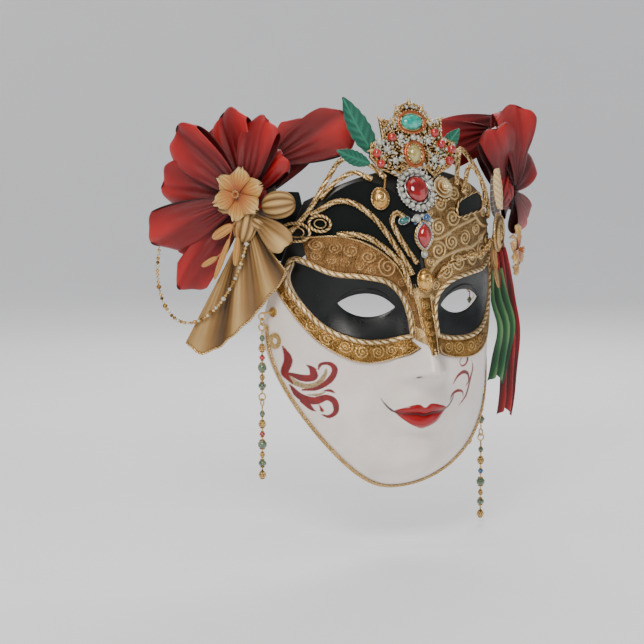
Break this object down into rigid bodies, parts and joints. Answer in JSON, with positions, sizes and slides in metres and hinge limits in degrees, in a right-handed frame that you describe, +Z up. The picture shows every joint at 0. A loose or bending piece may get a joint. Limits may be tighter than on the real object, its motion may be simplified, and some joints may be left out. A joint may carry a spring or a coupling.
{
  "type": "venetian carnival mask",
  "caption": "Full-face carnival mask: white moulded shell under a raised gold half mask with eye holes, jewelled crest, ribbon rosettes and hanging bead strands.",
  "frame": {"origin": "midway between the wearer's eyes, in the plane of the shell's back edge at the temples", "axes": "the mask faces -Y, +Z is up, +X is the side of the wearer's left eye"},
  "size_m": [0.2679, 0.1302, 0.2818],
  "materials": {
    "gesso": "satin varnish over white gesso",
    "felt": "matt felt",
    "cotton": "matt cotton",
    "brass": "aged, rubbed edges",
    "gold_braid": "metallic thread",
    "gold_leather": "embossed and gilded",
    "black_velvet": "matt near-black",
    "black_lacquer": "satin near-black",
    "gilt": "gilded resin",
    "ruby": "polished",
    "turquoise": "polished",
    "amber": "polished",
    "crystal": "faceted",
    "coral": "polished",
    "sapphire": "polished",
    "silver": "aged silver plate",
    "copper": "copper enamel",
    "red_satin": "satin ribbon",
    "gold_satin": "satin ribbon",
    "green_satin": "satin ribbon",
    "apricot_silk": "silk",
    "green_leaf": "silk",
    "beads": "polished"
  },
  "bodies": {
    "mask": {"amber_bezel": "copper", "amber_stone": "amber", "bead_swag_left": "beads", "bow_left": "gold_satin", "bridge_boss": "gilt", "brow_band_left": "gold_leather", "brow_pad": "cotton", "brow_panel_right": "gold_leather", "brow_velvet_left": "black_velvet", "bud_spray_left": "gold_satin", "cheek_band_left": "gold_leather", "cheek_band_right": "gold_leather", "coral_beads": "coral", "crest_leaves": "green_leaf", "crest_plate": "gilt", "crystal_stones": "crystal", "curl_rings": "gold_braid", "edge_braid": "gold_braid", "eye_panel_left": "black_lacquer", "eye_panel_right": "black_lacquer", "eye_rim_left": "gold_braid", "eye_rim_right": "gold_braid", "face_shell": "gesso", "gold_fan_left": "gold_satin", "gold_flower_left": "apricot_silk", "gold_flower_right": "apricot_silk", "gold_pearl": "gilt", "gold_ribbon_right": "gold_satin", "green_ribbon_right": "green_satin", "medallion_right": "gilt", "nose_strip": "gilt", "red_loops_left": "red_satin", "red_loops_right": "red_satin", "red_tail_right": "red_satin", "rosette_pads": "felt", "rosette_wings": "felt", "ruby_drop_setting": "silver", "ruby_drop_stone": "ruby", "ruby_halo": "crystal", "ruby_stone": "ruby", "sapphire_stones": "sapphire", "scroll_cords_left": "gold_braid", "scroll_cords_right": "gold_braid", "shell_lining": "felt", "strand_hooks": "brass", "tall_leaf_right": "gold_satin", "tie_eyelet_left": "brass", "tie_eyelet_right": "brass", "turquoise_bezel": "copper", "turquoise_stone": "turquoise"},
    "strand_ring_left": {"strand_ring_left": "brass"},
    "strand_left_link_1": {"strand_left_link_1": "beads"},
    "strand_left_link_2": {"strand_left_link_2": "beads"},
    "strand_ring_right_front": {"strand_ring_right_front": "brass"},
    "strand_right_front_link_1": {"strand_right_front_link_1": "beads"},
    "strand_right_front_link_2": {"strand_right_front_link_2": "beads"},
    "strand_right_front_link_3": {"strand_right_front_link_3": "beads"},
    "strand_ring_right_rear": {"strand_ring_right_rear": "brass"},
    "strand_right_rear_link_1": {"strand_right_rear_link_1": "beads"},
    "strand_right_rear_link_2": {"strand_right_rear_link_2": "beads"}
  },
  "joints": [
    {"name": "strand_ring_left_swing", "type": "hinge", "parent": "mask", "child": "strand_ring_left", "pos_m": [-0.0866, -0.0126, -0.0102], "axis": [1, 0, 0], "range_deg": [-22, 22]},
    {"name": "strand_left_link_1_swing", "type": "hinge", "parent": "strand_ring_left", "child": "strand_left_link_1", "pos_m": [-0.0866, -0.0126, -0.01348], "axis": [0, 1, 0], "range_deg": [-8, 30]},
    {"name": "strand_left_link_2_swing", "type": "hinge", "parent": "strand_left_link_1", "child": "strand_left_link_2", "pos_m": [-0.0866, -0.0126, -0.06076], "axis": [1, 0, 0], "range_deg": [-25, 25]},
    {"name": "strand_ring_right_front_swing", "type": "hinge", "parent": "mask", "child": "strand_ring_right_front", "pos_m": [0.0855, 0.0086, 0.0208], "axis": [1, 0, 0], "range_deg": [-1, 22]},
    {"name": "strand_right_front_link_1_swing", "type": "hinge", "parent": "strand_ring_right_front", "child": "strand_right_front_link_1", "pos_m": [0.0855, 0.0086, 0.01752], "axis": [0, 1, 0], "range_deg": [-2, 12]},
    {"name": "strand_right_front_link_2_swing", "type": "hinge", "parent": "strand_right_front_link_1", "child": "strand_right_front_link_2", "pos_m": [0.0855, 0.0086, -0.03976], "axis": [1, 0, 0], "range_deg": [-5, 25]},
    {"name": "strand_right_front_link_3_swing", "type": "hinge", "parent": "strand_right_front_link_2", "child": "strand_right_front_link_3", "pos_m": [0.0855, 0.0086, -0.09804], "axis": [0, 1, 0], "range_deg": [-30, 25]},
    {"name": "strand_ring_right_rear_swing", "type": "hinge", "parent": "mask", "child": "strand_ring_right_rear", "pos_m": [0.0905, 0.033, 0.0208], "axis": [1, 0, 0], "range_deg": [-8, 22]},
    {"name": "strand_right_rear_link_1_swing", "type": "hinge", "parent": "strand_ring_right_rear", "child": "strand_right_rear_link_1", "pos_m": [0.0905, 0.033, 0.01752], "axis": [0, 1, 0], "range_deg": [-20, 14]},
    {"name": "strand_right_rear_link_2_swing", "type": "hinge", "parent": "strand_right_rear_link_1", "child": "strand_right_rear_link_2", "pos_m": [0.0905, 0.033, -0.04376], "axis": [1, 0, 0], "range_deg": [-20, 25]}
  ]
}
